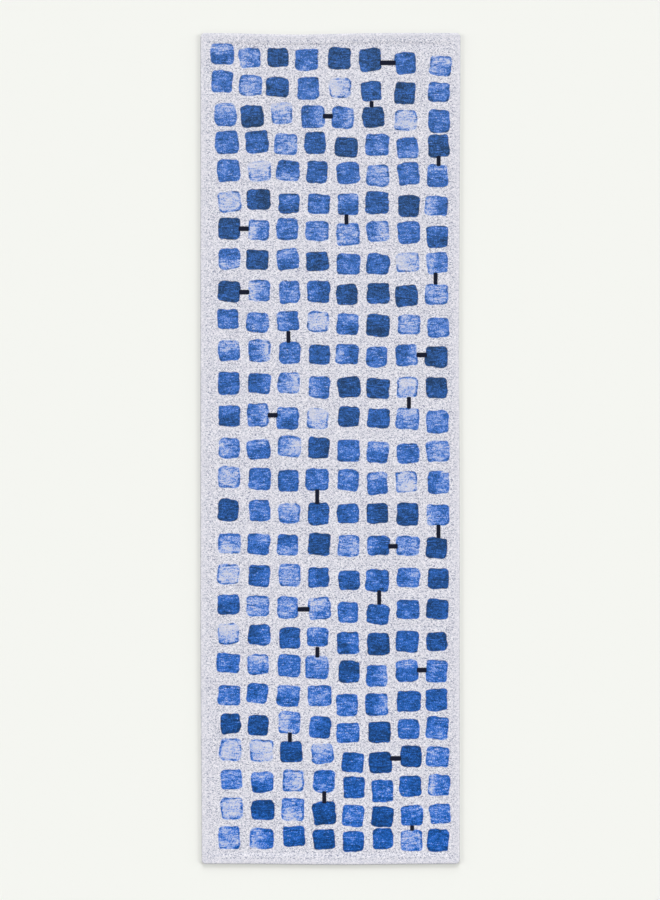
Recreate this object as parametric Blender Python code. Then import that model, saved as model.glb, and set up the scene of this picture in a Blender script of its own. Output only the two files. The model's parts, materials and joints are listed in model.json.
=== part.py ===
"""Runner rug: a jacquard face cloth with its edges turned under, over a felt backing.

Metres, +Z up. X is the rug's width, Y its length, with the head end at +Y. The origin is at the
middle of the underside, where the rug touches the floor.
"""

import math

import bmesh
import bpy
from mathutils import Matrix, Vector

# Overall size
RUG_WIDTH = 0.762
RUG_LENGTH = 2.438
CORNER_RADIUS = 0.012

# Cloth and backing
CLOTH_THICK = 0.0018
FELT_THICK = 0.0012
GRIP_HEIGHT = 0.0008  # the printed anti-slip dots, which the backing's solid includes
SHEET_GAP = 0.0003  # between layers that lie on each other
FELT_EDGE_INSET = 0.004  # how far the backing stops short of the folded edge

# Hem
HEM_WIDTH = 0.022  # from the folded edge to the bound raw edge underneath
HEM_SLOPE = 0.012  # over which the layers drop from the hem to the middle of the rug
OVERLOCK_WIDTH = 0.0045
OVERLOCK_THICK = 0.0003
MITRE_GAP = 0.0005  # between the bindings that meet at a corner

# Seams
SEAM_TO_OVERLOCK = 0.002
STRAND_WIDTH = 0.0009
STRAND_THICK = 0.0005
STRAND_GAP = 0.0003
SEAM_END_GAP = 0.0015
CORNER_STITCH_TO_FOLD = 0.001
CORNER_STITCH_TO_SEAM = 0.003

# Care label
LABEL_LENGTH = 0.060
LABEL_WIDTH = 0.035
LABEL_THICK = 0.0003
LABEL_LIFT = 0.0002
LABEL_MARGIN = 0.025  # from where the backing lies flat
LABEL_THREAD = 0.0009

# Facets
CORNER_STEPS = 6
FOLD_STEPS = 6
SMALLEST_RADIUS = 0.001
OVERRUN = 0.001  # how far a cutter reaches past the face it opens

# Heights of the layers in the hem, from the floor up
HEM_FELT_LOW = CLOTH_THICK + SHEET_GAP
HEM_FELT_HIGH = HEM_FELT_LOW + FELT_THICK
HEM_CLOTH_LOW = HEM_FELT_HIGH + SHEET_GAP
HEM_TOP = HEM_CLOTH_LOW + CLOTH_THICK

# Heights of the layers in the middle of the rug
FELT_HIGH = GRIP_HEIGHT + FELT_THICK
CLOTH_LOW = FELT_HIGH + SHEET_GAP
CLOTH_TOP = CLOTH_LOW + CLOTH_THICK

# Distances in from the folded edge
FOLD_RADIUS = HEM_TOP / 2
INNER_FOLD_RADIUS = (HEM_CLOTH_LOW - CLOTH_THICK) / 2
FLAT_INSET = HEM_WIDTH + HEM_SLOPE
SEAM_INSET = HEM_WIDTH - OVERLOCK_WIDTH - SEAM_TO_OVERLOCK

# side name: (direction across the rug to that side, direction along the seam)
SIDES = {
    "left": (Vector((-1, 0, 0)), Vector((0, 1, 0))),
    "right": (Vector((1, 0, 0)), Vector((0, -1, 0))),
    "head": (Vector((0, 1, 0)), Vector((1, 0, 0))),
    "foot": (Vector((0, -1, 0)), Vector((-1, 0, 0))),
}
CORNERS = {
    "head_left": (-1, 1),
    "head_right": (1, 1),
    "foot_left": (-1, -1),
    "foot_right": (1, -1),
}


def clear_scene():
    for item in list(bpy.data.objects):
        bpy.data.objects.remove(item, do_unlink=True)


def material(name, colour, roughness, metallic=0.0):
    made = bpy.data.materials.new(name)
    made.use_nodes = True
    shader = made.node_tree.nodes["Principled BSDF"]
    shader.inputs["Base Color"].default_value = (*colour, 1.0)
    shader.inputs["Roughness"].default_value = roughness
    shader.inputs["Metallic"].default_value = metallic
    made.diffuse_color = (*colour, 1.0)
    return made


def add_object(name, bm, finish=None):
    """Makes a scene object of a closed bmesh, with its faces pointing out."""
    bmesh.ops.recalc_face_normals(bm, faces=bm.faces)
    mesh = bpy.data.meshes.new(name)
    bm.to_mesh(mesh)
    bm.free()
    item = bpy.data.objects.new(name, mesh)
    bpy.context.scene.collection.objects.link(item)
    if finish:
        mesh.materials.append(finish)
    return item


def outline(inset, height):
    """The rug's rounded outline, moved in by inset, at a height, anticlockwise."""
    radius = max(CORNER_RADIUS - inset, SMALLEST_RADIUS)
    across = RUG_WIDTH / 2 - inset - radius
    along = RUG_LENGTH / 2 - inset - radius
    points = []
    for turn, (sx, sy) in enumerate(((1, 1), (-1, 1), (-1, -1), (1, -1))):
        for step in range(CORNER_STEPS + 1):
            angle = math.pi / 2 * (turn + step / CORNER_STEPS)
            x = sx * across + radius * math.cos(angle)
            y = sy * along + radius * math.sin(angle)
            points.append((x, y, height))
    return points


def sheet(name, profile, finish):
    """A closed sheet: each (inset, height) of the profile is one ring, and both ends are capped.

    The profile runs from the middle of the upper side out round the edge to the middle of the
    lower side.
    """
    bm = bmesh.new()
    rings = [[bm.verts.new(point) for point in outline(*place)] for place in profile]
    count = len(rings[0])
    for upper, lower in zip(rings, rings[1:]):
        for i in range(count):
            j = (i + 1) % count
            bm.faces.new((upper[i], upper[j], lower[j], lower[i]))
    bm.faces.new(rings[0])
    bm.faces.new(list(reversed(rings[-1])))
    return add_object(name, bm, finish)


def fold(radius, steps):
    """The half circle of a folded edge, from its top round to its bottom, as profile points."""
    points = []
    for step in range(steps + 1):
        angle = math.pi * step / steps
        inset = FOLD_RADIUS - radius * math.sin(angle)
        points.append((inset, FOLD_RADIUS + radius * math.cos(angle)))
    return points


def groove(surface, depth_sign):
    """Profile points of a seam's groove in a level surface, from its inner to its outer side."""
    half = STRAND_WIDTH / 2 + STRAND_GAP
    floor = surface + depth_sign * (STRAND_THICK + STRAND_GAP)
    return [
        (SEAM_INSET + half, surface),
        (SEAM_INSET + half, floor),
        (SEAM_INSET - half, floor),
        (SEAM_INSET - half, surface),
    ]


def face_cloth(finish):
    """The woven cloth, folded under at its four edges, with its raw edge under the bindings."""
    recess = OVERLOCK_THICK + SHEET_GAP
    recess_start = HEM_WIDTH - OVERLOCK_WIDTH - SHEET_GAP
    raw_edge = HEM_WIDTH - recess
    profile = [(FLAT_INSET, CLOTH_TOP), (HEM_WIDTH, HEM_TOP)]
    profile += groove(HEM_TOP, -1)
    profile += fold(FOLD_RADIUS, FOLD_STEPS * 2)
    profile += reversed(groove(0.0, 1))
    profile += [
        (recess_start, 0.0),
        (recess_start, recess),
        (raw_edge, recess),
        (raw_edge, CLOTH_THICK - recess),
        (recess_start, CLOTH_THICK - recess),
        (recess_start, CLOTH_THICK),
    ]
    profile += reversed(fold(INNER_FOLD_RADIUS, FOLD_STEPS))
    profile += [(HEM_WIDTH, HEM_CLOTH_LOW), (FLAT_INSET, CLOTH_LOW)]
    return sheet("face_cloth", profile, finish)


def backing(finish):
    """The felt with its printed grip: level over the floor, its edge lifted over the hem."""
    over_hem = HEM_WIDTH + SHEET_GAP
    profile = [
        (FLAT_INSET, FELT_HIGH),
        (HEM_WIDTH, HEM_FELT_HIGH),
        (FELT_EDGE_INSET, HEM_FELT_HIGH),
        (FELT_EDGE_INSET, HEM_FELT_LOW),
        (over_hem, HEM_FELT_LOW),
        (FLAT_INSET, 0.0),
    ]
    return sheet("backing", profile, finish)


def half_reach(side):
    """Half the rug's size towards a side."""
    return RUG_WIDTH / 2 if side in ("left", "right") else RUG_LENGTH / 2


def half_run(side):
    """Half the rug's size along a side."""
    return RUG_LENGTH / 2 if side in ("left", "right") else RUG_WIDTH / 2


def prism(name, section, place, finish):
    """A closed bar of one cross-section; place(point, end) puts a section point at either end."""
    bm = bmesh.new()
    ends = [[bm.verts.new(place(point, end)) for point in section] for end in (-1, 1)]
    count = len(section)
    for i in range(count):
        j = (i + 1) % count
        bm.faces.new((ends[0][i], ends[0][j], ends[1][j], ends[1][i]))
    bm.faces.new(ends[0])
    bm.faces.new(list(reversed(ends[1])))
    return add_object(name, bm, finish)


def strand_section(centre, low):
    """A flattened thread's cross-section: centred on a line, lying on a height."""
    half = STRAND_WIDTH / 2
    high = low + STRAND_THICK
    bevel = STRAND_THICK / 3
    return [
        (centre - half, low + bevel),
        (centre - half + bevel, low),
        (centre + half - bevel, low),
        (centre + half, low + bevel),
        (centre + half, high - bevel),
        (centre + half - bevel, high),
        (centre - half + bevel, high),
        (centre - half, high - bevel),
    ]


def seam(name, side, low, finish):
    """One straight run of thread along a side, short of the seams that it meets."""
    outwards, along = SIDES[side]
    reach = half_reach(side)
    run = half_run(side) - SEAM_INSET - STRAND_WIDTH / 2 - SEAM_END_GAP

    def place(point, end):
        inset, height = point
        return outwards * (reach - inset) + along * (run * end) + Vector((0, 0, height))

    return prism(name, strand_section(SEAM_INSET, low), place, finish)


def overlock(side, finish):
    """The thread binding that wraps a hem's raw edge, mitred where two of them meet."""
    outwards, along = SIDES[side]
    outer = HEM_WIDTH
    inner = HEM_WIDTH - OVERLOCK_WIDTH
    wall = OVERLOCK_THICK
    section = [
        (inner, 0.0),
        (outer - wall, 0.0),
        (outer, wall),
        (outer, CLOTH_THICK - wall),
        (outer - wall, CLOTH_THICK),
        (inner, CLOTH_THICK),
        (inner, CLOTH_THICK - wall),
        (outer - wall, CLOTH_THICK - wall),
        (outer - wall, wall),
        (inner, wall),
    ]

    def place(point, end):
        inset, height = point
        run = half_run(side) - inset - MITRE_GAP
        return outwards * (half_reach(side) - inset) + along * (run * end) + Vector((0, 0, height))

    return prism(f"overlock_{side}", section, place, finish)


def diagonal(corner, inset):
    """A point on a corner's diagonal, at a distance in from both of its edges."""
    sx, sy = CORNERS[corner]
    return Vector((sx * (RUG_WIDTH / 2 - inset), sy * (RUG_LENGTH / 2 - inset), 0))


def corner_run(corner, margin=0.0):
    """Both ends of a corner's stitch, on the hem's flat underside, each moved out by a margin."""
    rounding = (CORNER_RADIUS - FOLD_RADIUS) * math.sqrt(0.5)
    outer = diagonal(corner, CORNER_RADIUS - rounding + CORNER_STITCH_TO_FOLD)
    inner = diagonal(corner, SEAM_INSET - CORNER_STITCH_TO_SEAM)
    lead = (inner - outer).normalized() * margin
    return outer - lead, inner + lead


def bar(name, ends, section, finish=None):
    """A straight bar between two points, of a cross-section given as (sideways, height)."""
    first, last = ends
    forward = (last - first).normalized()
    sideways = forward.cross(Vector((0, 0, 1)))

    def place(point, end):
        return (first if end < 0 else last) + sideways * point[0] + Vector((0, 0, point[1]))

    return prism(name, section, place, finish)


def corner_stitch(corner, finish):
    return bar(f"corner_stitch_{corner}", corner_run(corner), strand_section(0.0, 0.0), finish)


def cut(item, cutter):
    """Takes a hidden cutter's shape out of an object."""
    cutter.hide_render = True
    cutter.display_type = "WIRE"
    modifier = item.modifiers.new(cutter.name, "BOOLEAN")
    modifier.operation = "DIFFERENCE"
    modifier.solver = "EXACT"
    modifier.object = cutter


def corner_groove_cutter(corner):
    half = STRAND_WIDTH / 2 + STRAND_GAP
    high = STRAND_THICK + STRAND_GAP
    section = [(-half, -OVERRUN), (half, -OVERRUN), (half, high), (-half, high)]
    return bar(f"cutter_groove_{corner}", corner_run(corner, STRAND_GAP), section)


def box(name, low, high, finish=None):
    bm = bmesh.new()
    low, high = Vector(low), Vector(high)
    bmesh.ops.create_cube(bm, size=1.0)
    bmesh.ops.scale(bm, vec=high - low, verts=bm.verts)
    bmesh.ops.transform(bm, matrix=Matrix.Translation((low + high) / 2), verts=bm.verts)
    return add_object(name, bm, finish)


def label_centre():
    """The label lies along the foot end of the right side, on the flat part of the backing."""
    inset = FLAT_INSET + LABEL_MARGIN
    x = RUG_WIDTH / 2 - inset - LABEL_WIDTH / 2
    y = -(RUG_LENGTH / 2 - inset - LABEL_LENGTH / 2)
    return x, y


def label_pieces(tape, thread):
    """The blank label and the two short seams that hold its ends, lying in the grip's gap."""
    x, y = label_centre()
    half_x, half_y = LABEL_WIDTH / 2, LABEL_LENGTH / 2
    top = LABEL_LIFT + LABEL_THICK
    made = [box("care_label", (x - half_x, y - half_y, LABEL_LIFT), (x + half_x, y + half_y, top), tape)]
    for name, sign in (("foot", -1), ("head", 1)):
        near = y + sign * (half_y + STRAND_GAP)
        far = near + sign * LABEL_THREAD
        low = (x - half_x, min(near, far), LABEL_LIFT)
        high = (x + half_x, max(near, far), top)
        made.append(box(f"label_thread_{name}", low, high, thread))
    return made


def label_pocket_cutter():
    x, y = label_centre()
    half_x = LABEL_WIDTH / 2 + STRAND_GAP
    half_y = LABEL_LENGTH / 2 + LABEL_THREAD + 2 * STRAND_GAP
    return box(
        "cutter_label_pocket",
        (x - half_x, y - half_y, -OVERRUN),
        (x + half_x, y + half_y, GRIP_HEIGHT),
    )


def main():
    clear_scene()
    yarn = material("face_yarn", (0.62, 0.63, 0.70), 0.92)
    felt = material("backing_felt", (0.42, 0.42, 0.44), 0.95)
    thread = material("hem_thread", (0.66, 0.67, 0.73), 0.75)
    binding = material("overlock_thread", (0.60, 0.61, 0.67), 0.8)
    tape = material("label_tape", (0.80, 0.80, 0.78), 0.7)

    cloth = face_cloth(yarn)
    felt_sheet = backing(felt)
    for corner in CORNERS:
        corner_stitch(corner, thread)
        cut(cloth, corner_groove_cutter(corner))
    for side in SIDES:
        seam(f"needle_thread_{side}", side, HEM_TOP - STRAND_THICK, thread)
        seam(f"bobbin_thread_{side}", side, 0.0, thread)
        overlock(side, binding)
    label_pieces(tape, thread)
    cut(felt_sheet, label_pocket_cutter())


main()
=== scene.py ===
import json
import math
import random

import bmesh
import bpy
import numpy as np
from mathutils import Matrix, Vector


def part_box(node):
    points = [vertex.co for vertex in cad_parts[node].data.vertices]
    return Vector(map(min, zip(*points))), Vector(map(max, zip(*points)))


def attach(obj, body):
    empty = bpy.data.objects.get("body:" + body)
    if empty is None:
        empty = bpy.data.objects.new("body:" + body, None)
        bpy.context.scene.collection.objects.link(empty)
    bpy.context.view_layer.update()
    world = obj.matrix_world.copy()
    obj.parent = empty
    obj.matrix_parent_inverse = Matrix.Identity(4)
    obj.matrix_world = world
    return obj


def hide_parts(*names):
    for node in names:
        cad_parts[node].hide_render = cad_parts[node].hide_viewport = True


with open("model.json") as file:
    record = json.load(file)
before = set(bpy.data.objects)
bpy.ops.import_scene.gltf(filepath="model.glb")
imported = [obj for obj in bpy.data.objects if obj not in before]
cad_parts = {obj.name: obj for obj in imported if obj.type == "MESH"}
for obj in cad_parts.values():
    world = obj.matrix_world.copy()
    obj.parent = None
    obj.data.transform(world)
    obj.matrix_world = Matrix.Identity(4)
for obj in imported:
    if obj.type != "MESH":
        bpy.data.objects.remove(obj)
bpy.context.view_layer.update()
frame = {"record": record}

BODY = "root"
MM = 0.001
MOUNTS = {mount["name"]: mount for mount in frame["record"]["mounts"]}


# ---------------------------------------------------------------- sizes that the frame gives

def size(node, axis):
    low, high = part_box(node)
    return high[axis] - low[axis]


def middle(node, axis):
    low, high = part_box(node)
    return (high[axis] + low[axis]) / 2


HALF_WIDTH = size("face_cloth", 0) / 2
HALF_LENGTH = size("face_cloth", 1) / 2
HEM_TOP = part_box("face_cloth")[1][2]
CLOTH_TOP = MOUNTS["walking_face"]["pos_m"][2]
HEM_WIDTH = HALF_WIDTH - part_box("overlock_right")[0][0]
OVERLOCK_WIDTH = size("overlock_right", 0)
CLOTH_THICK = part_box("overlock_right")[1][2]
SEAM_INSET = HALF_WIDTH - middle("needle_thread_right", 0)
FELT_TOP_IN_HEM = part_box("backing")[1][2]
FELT_INSET = HALF_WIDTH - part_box("backing")[1][0]
STRAND_WIDTH = size("needle_thread_right", 0)
STRAND_THICK = size("needle_thread_right", 2)

# ---------------------------------------------------------------- sizes of the fine shapes

RIB_PITCH = 3.2 * MM
RIB_HEIGHT = 0.34 * MM
CORNER_RADIUS = 12 * MM
HEM_SLOPE = 12 * MM
FLAT_INSET = HEM_WIDTH + HEM_SLOPE
SEAM_DIP = 0.15 * MM
SEAM_DIP_WIDTH = 1.3 * MM
UNDER_LIFT = 0.25 * MM
FELT_THICK = 1.2 * MM
GRIP_HEIGHT = 0.8 * MM
STITCH_PITCH = 4.0 * MM
OVERLOCK_PITCH = 2.6 * MM
DOT_PITCH = 21 * MM
DOT_RADIUS = 2.6 * MM
WHIP_RADIUS = 0.18 * MM
WHIP_PITCH = 2.2 * MM
LABEL_WAVE = 0.06 * MM
LABEL_CLEAR = 0.05 * MM

# ---------------------------------------------------------------- the woven pattern

ROW_COUNT = 27
COLUMN_COUNT = 8
ROW_PITCH = 87.9 * MM
COLUMN_PITCH = 87.5 * MM
PATTERN_ASIDE = 9 * MM     # the pattern is woven a little to the right of the cloth's middle line
SQUARE_HALF = 32.8 * MM
SQUARE_GAP = 1.5 * MM      # least ground between two squares
SCATTER = 4 * MM           # how far a square strays from its own place
ROW_SWELL = 24 * MM        # the rows crowd and spread in one slow wave along the rug
HEAD_LEAN = 32 * MM        # the head's rows lean left in the middle
FOOT_LEAN = 18 * MM        # the foot's rows lean right in the middle
FOOT_SAG = 24 * MM         # right of the middle, the foot's rows sag
ROW_TILT = 0.3 * ROW_PITCH
HEAD_TILT = 0.6 * ROW_SWELL
LOWER_SHARE = 0.53         # of a tight gap, what the lower square may fill

# Dye strength of each kind of square, from nearly navy to nearly bare, and how often it comes.
DYES = (0.86, 0.75, 0.65, 0.54, 0.41, 0.28, 0.12)
DYE_SHARES = (23, 14, 24, 13, 13, 5, 8)

# The side towards which a square's dye runs pale. Most squares are dyed evenly.
WASHES = ((0, 0), (0, 1), (0, -1), (1, 0), (-1, 0))
WASH_SHARES = (48, 24, 8, 10, 10)

BAR_COUNT = 23
BAR_ACROSS_THICK = 14 * MM
BAR_ALONG_THICK = 12 * MM
BAR_INTO_SQUARE = 4 * MM
BAR_ASIDE = 5 * MM         # how far a bar strays from the line between its two squares
BAR_MARGIN = 25 * MM       # how far around a bar the cloth knows its place on it


def smooth(value, start, end):
    t = np.clip((value - start) / (end - start), 0.0, 1.0)
    return t * t * (3 - 2 * t)


def hump(value, top, reach):
    return np.exp(-(((value - top) / reach) ** 2))


def woven_place(row, column):
    """The middle of a square before its own scatter. along and across run from -1 to 1."""
    along = 1 - 2 * row / (ROW_COUNT - 1)
    across = 2 * column / (COLUMN_COUNT - 1) - 1
    x = PATTERN_ASIDE + across * (COLUMN_COUNT - 1) / 2 * COLUMN_PITCH
    y = along * (ROW_COUNT - 1) / 2 * ROW_PITCH
    bow = 1 - 0.8 * across * across
    x -= HEAD_LEAN * (bow - 0.4 * across) * smooth(along, 0.70, 0.97)
    x += FOOT_LEAN * bow * smooth(-along, 0.65, 0.85)
    y += ROW_SWELL * math.sin(math.pi * (1 - along))
    y -= ROW_TILT * (0.1 + 0.3 * across) * (1 - smooth(along, 0.9, 1.0))
    y -= HEAD_TILT * across * smooth(along, 0.8, 1.0)
    y -= FOOT_SAG * hump(across, 0.3, 0.3) * smooth(-along, 0.15, 0.5) * (1 - smooth(-along, 0.90, 1.0))
    return x, y


def squares():
    """Each square as a dict: its middle, half sizes, turn, dye, wash and a number of its own."""
    rng = random.Random(11)
    found = []
    for row in range(ROW_COUNT):
        line = []
        for column in range(COLUMN_COUNT):
            x, y = woven_place(row, column)
            line.append({
                "x": x + rng.uniform(-SCATTER, SCATTER),
                "y": y + rng.uniform(-SCATTER, SCATTER) * 1.5,
                "half_x": SQUARE_HALF + rng.uniform(-2.4, 1.8) * MM,
                "half_y": SQUARE_HALF + rng.uniform(-4.6, 1.0) * MM,
                "turn": math.radians(rng.uniform(-5.0, 5.0)),
                "dye": rng.choices(DYES, DYE_SHARES)[0] + rng.uniform(-0.02, 0.02),
                "wash": rng.choices(WASHES, WASH_SHARES)[0],
                "own": rng.uniform(0, 50),
            })
        found.append(line)
    return kept_apart(found)


def kept_apart(found):
    """Makes squares smaller where they stand close together, so that none touch."""
    for above, below in zip(found, found[1:]):
        for one, two in zip(above, below):
            room = one["y"] - two["y"] - SQUARE_GAP
            two["half_y"] = min(two["half_y"], room * LOWER_SHARE)
            one["half_y"] = min(one["half_y"], room - two["half_y"])
    for line in found:
        for one, two in zip(line, line[1:]):
            room = (two["x"] - one["x"] - SQUARE_GAP) / 2
            one["half_x"] = min(one["half_x"], room)
            two["half_x"] = min(two["half_x"], room)
    return found


SQUARES = squares()


def bar_pairs():
    """Pairs of neighbouring squares that a bar joins, spread from head to foot, none used twice."""
    rng = random.Random(4)
    taken = set()
    pairs = []
    for number in range(BAR_COUNT):
        row = round(number * (ROW_COUNT - 2) / (BAR_COUNT - 1))
        across = number % 9 in (0, 2, 5, 7)
        down, right = (0, 1) if across else (1, 0)
        columns = list(range(COLUMN_COUNT - right))
        rng.shuffle(columns)
        for column in columns:
            pair = ((row, column), (row + down, column + right))
            if taken.isdisjoint(pair):
                break
        taken.update(pair)
        pairs.append((pair, across, rng.uniform(-BAR_ASIDE, BAR_ASIDE)))
    return pairs


def bars():
    """Each bar as (middle x, middle y, half length, half thickness, whether it runs across)."""
    found = []
    reach = SQUARE_HALF - BAR_INTO_SQUARE
    for pair, across, aside in bar_pairs():
        one, two = (SQUARES[row][column] for row, column in pair)
        x, y = (one["x"] + two["x"]) / 2, (one["y"] + two["y"]) / 2
        if across:
            half = (two["x"] - one["x"]) / 2 - reach
            found.append((x, y + aside, half, BAR_ACROSS_THICK / 2, True))
        else:
            half = (one["y"] - two["y"]) / 2 - reach
            found.append((x + aside, y, half, BAR_ALONG_THICK / 2, False))
    return found


# ---------------------------------------------------------------- how the rug lies

SETTLE_REACH = 0.25        # how far in from an end its edge draws the cloth along
HEAD_OUT = 2.7 * MM        # the head end lies a little long
HEAD_HOLLOW = 4.5 * MM     # with a hollow left of the middle
FOOT_OUT = 0.8 * MM
FOOT_SWELL = 2.6 * MM
LEFT_DRAWN_IN = 3.5 * MM   # the left side runs in towards the foot
RIGHT_SWAY = 2 * MM        # the right side sways out at the head and in below it


def settle(points):
    """Moves points of a rug as cut to where they lie: its edges aren't quite straight."""
    x, y = points[:, 0], points[:, 1]
    head = smooth(y, HALF_LENGTH - SETTLE_REACH, HALF_LENGTH)
    foot = smooth(-y, HALF_LENGTH - SETTLE_REACH, HALF_LENGTH)
    left = smooth(-x, HALF_WIDTH - SETTLE_REACH / 2, HALF_WIDTH)
    right = smooth(x, HALF_WIDTH - SETTLE_REACH / 2, HALF_WIDTH)
    moved = points.copy()
    moved[:, 1] += head * (HEAD_OUT - HEAD_HOLLOW * hump(x, -0.10, 0.15))
    moved[:, 1] -= foot * (FOOT_OUT + FOOT_SWELL * hump(x, 0.03, 0.2))
    moved[:, 0] += left * LEFT_DRAWN_IN * smooth(-y, 0.5, HALF_LENGTH)
    moved[:, 0] += right * RIGHT_SWAY * (hump(y, HALF_LENGTH, 0.3) - hump(y, 0.3, 0.3))
    return moved


def places(mesh):
    found = np.empty(len(mesh.vertices) * 3, np.float32)
    mesh.vertices.foreach_get("co", found)
    return found.reshape(-1, 3).astype(np.float64)


def whole_numbers(items, key):
    """One whole number from each item of a mesh."""
    found = np.empty(len(items), np.int32)
    items.foreach_get(key, found)
    return found


def settle_mesh(mesh):
    mesh.vertices.foreach_set("co", settle(places(mesh)).astype(np.float32).ravel())
    mesh.update()


# ---------------------------------------------------------------- small mesh tools

def new_object(name, verts, faces, edges=()):
    mesh = bpy.data.meshes.new(name)
    mesh.from_pydata([tuple(v) for v in verts], edges, faces)
    item = bpy.data.objects.new(name, mesh)
    bpy.context.scene.collection.objects.link(item)
    return item


def frozen(item):
    """The evaluated object as a plain mesh with no modifiers, at its own place."""
    graph = bpy.context.evaluated_depsgraph_get()
    mesh = bpy.data.meshes.new_from_object(item.evaluated_get(graph), depsgraph=graph)
    item.modifiers.clear()
    item.data = mesh
    return item


def outward(item):
    """Recalculates a closed mesh's normals so that they point out."""
    bm = bmesh.new()
    bm.from_mesh(item.data)
    bmesh.ops.recalc_face_normals(bm, faces=bm.faces)
    bm.to_mesh(item.data)
    bm.free()


def skin(name, rings):
    """A closed mesh through rings of points, capped at both ends, its faces outwards."""
    sides = len(rings[0])
    verts = [point for ring in rings for point in ring]
    faces = [tuple(range(sides)), tuple(range(len(verts) - sides, len(verts)))]
    for start in range(0, len(verts) - sides, sides):
        for k in range(sides):
            a, b = start + k, start + (k + 1) % sides
            faces.append((a, b, b + sides, a + sides))
    item = new_object(name, verts, faces)
    outward(item)
    return item


def circle(sides):
    """The cosine and sine of each corner of a regular polygon."""
    angles = [math.tau * k / sides for k in range(sides)]
    return [(math.cos(angle), math.sin(angle)) for angle in angles]


def tube(name, path, radius, sides):
    """A closed round tube along a path of points."""
    path = [Vector(point) for point in path]
    rings = []
    for i, point in enumerate(path):
        forward = (path[min(i + 1, len(path) - 1)] - path[max(i - 1, 0)]).normalized()
        aside = forward.cross(Vector((0, 0, 1)))
        aside = aside.normalized() if aside.length > 1e-6 else Vector((1, 0, 0))
        up = aside.cross(forward)
        rings.append([point + (aside * cos + up * sin) * radius for cos, sin in circle(sides)])
    item = skin(name, rings)
    shade_smooth(item)
    return item


def shade_smooth(item):
    item.data.polygons.foreach_set("use_smooth", [True] * len(item.data.polygons))
    item.data.update()


# ---------------------------------------------------------------- the face cloth's mesh

SUB_COLUMNS = 4
HEM_COLUMNS = (12.0, 14.5, 15.5, 16.5, 22.0, 28.0)  # millimetres in from the folded edge
GRID_INSET = CORNER_RADIUS
ROW_HALVES = round((HALF_LENGTH - GRID_INSET) / (RIB_PITCH / 2) / 8) * 8
FOLD_STEPS = 5
ARC_STEPS = 8
COARSE = 8


def top_height(inset):
    """Height of the cloth's upper side at a distance in from the folded edge."""
    rise = (HEM_TOP - CLOTH_TOP) * smooth(FLAT_INSET - inset, 0, HEM_SLOPE)
    return CLOTH_TOP + rise - SEAM_DIP * hump(inset, SEAM_INSET, SEAM_DIP_WIDTH)


def row_heights():
    """The y of each mesh row: two for each rib, the same distance apart, one of them at 0."""
    reach = HALF_LENGTH - GRID_INSET
    return np.linspace(-reach, reach, 2 * ROW_HALVES + 1)


def cell_edges(y):
    """For each mesh row, the x of the lines that part the columns of squares."""
    rows = np.array([np.mean([s["y"] for s in line]) for line in SQUARES])
    lines = np.array([[(a["x"] + b["x"]) / 2 for a, b in zip(line, line[1:])] for line in SQUARES])
    steady = []
    for value in y:
        i = int(np.clip(np.searchsorted(-rows, -value) - 1, 0, len(rows) - 2))
        t = np.clip((rows[i] - value) / (rows[i] - rows[i + 1]), 0, 1)
        t = smooth(t, 0.34, 0.66)
        steady.append(lines[i] * (1 - t) + lines[i + 1] * t)
    return np.array(steady)


def grid_columns(y):
    """x of every mesh column in every mesh row."""
    inner = cell_edges(y)
    side = np.full((len(y), 1), HALF_WIDTH - FLAT_INSET)
    edges = np.hstack([-side, inner, side])
    spans = []
    for i in range(edges.shape[1] - 1):
        for k in range(SUB_COLUMNS):
            spans.append(edges[:, i] + (edges[:, i + 1] - edges[:, i]) * k / SUB_COLUMNS)
    spans.append(edges[:, -1])
    hems = [HALF_WIDTH - inset * MM for inset in HEM_COLUMNS]
    left = [np.full(len(y), -x) for x in hems]
    right = [np.full(len(y), x) for x in reversed(hems)]
    return np.stack(left + spans + right, axis=1)


class Cloth:
    """Collects the cloth's faces, and each vertex with what its materials read there."""

    def __init__(self):
        self.points, self.faces = [], []

    def vert(self, place, rib, flat, inset):
        self.points.append((place, rib, flat, inset))
        return len(self.points) - 1

    def ring(self, stations, inset, height, length, ribbed=False):
        found = []
        for station in stations:
            x, y = station_point(station, inset)
            rib = rib_sign(y) if ribbed and station[0] in ("left", "right") else 0.0
            found.append(self.vert((x, y, height), rib, station_flat(station, length), inset))
        return found

    def rings(self, ring, stations, profile, ribbed=False):
        """Adds a ring at each (inset, height, length) and joins each to the one before it."""
        count = len(ring)
        for place in profile:
            inner, ring = ring, self.ring(stations, *place, ribbed)
            for i in range(count):
                j = (i + 1) % count
                corners = (inner[i], ring[i], ring[j], inner[j])
                self.faces.append(corners[:3] if inner[i] == inner[j] else corners)
        return ring


def fold_profile():
    """(inset, height, length of cloth past the grid's edge) from the grid's edge to underneath."""
    radius = HEM_TOP / 2
    places = [(6.5 * MM, HEM_TOP)]
    for step in range(FOLD_STEPS + 1):
        angle = math.pi * step / FOLD_STEPS
        low = UNDER_LIFT * step / FOLD_STEPS
        places.append((radius - radius * math.sin(angle), radius + radius * math.cos(angle) + low))
    return with_lengths(places, (GRID_INSET, HEM_TOP), 0.0)


def with_lengths(places, start, length):
    found, before = [], start
    for inset, height in places:
        length += math.hypot(inset - before[0], height - before[1])
        found.append((inset, height, length))
        before = (inset, height)
    return found


def flange_profile(start):
    """The hem's underside, from the fold to the raw edge, under the same headings."""
    lift = UNDER_LIFT
    raised = lift + 0.35 * MM
    bind = HEM_WIDTH - OVERLOCK_WIDTH
    places = [
        (SEAM_INSET - SEAM_DIP_WIDTH, lift),
        (SEAM_INSET, lift + SEAM_DIP * 0.7),
        (SEAM_INSET + SEAM_DIP_WIDTH, lift),
        (bind, lift),
        (bind + 0.8 * MM, raised),
        (HEM_WIDTH - 0.8 * MM, raised),
        (HEM_WIDTH - 0.5 * MM, (raised + CLOTH_THICK) / 2),
    ]
    return with_lengths(places, start[:2], start[2])


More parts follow.
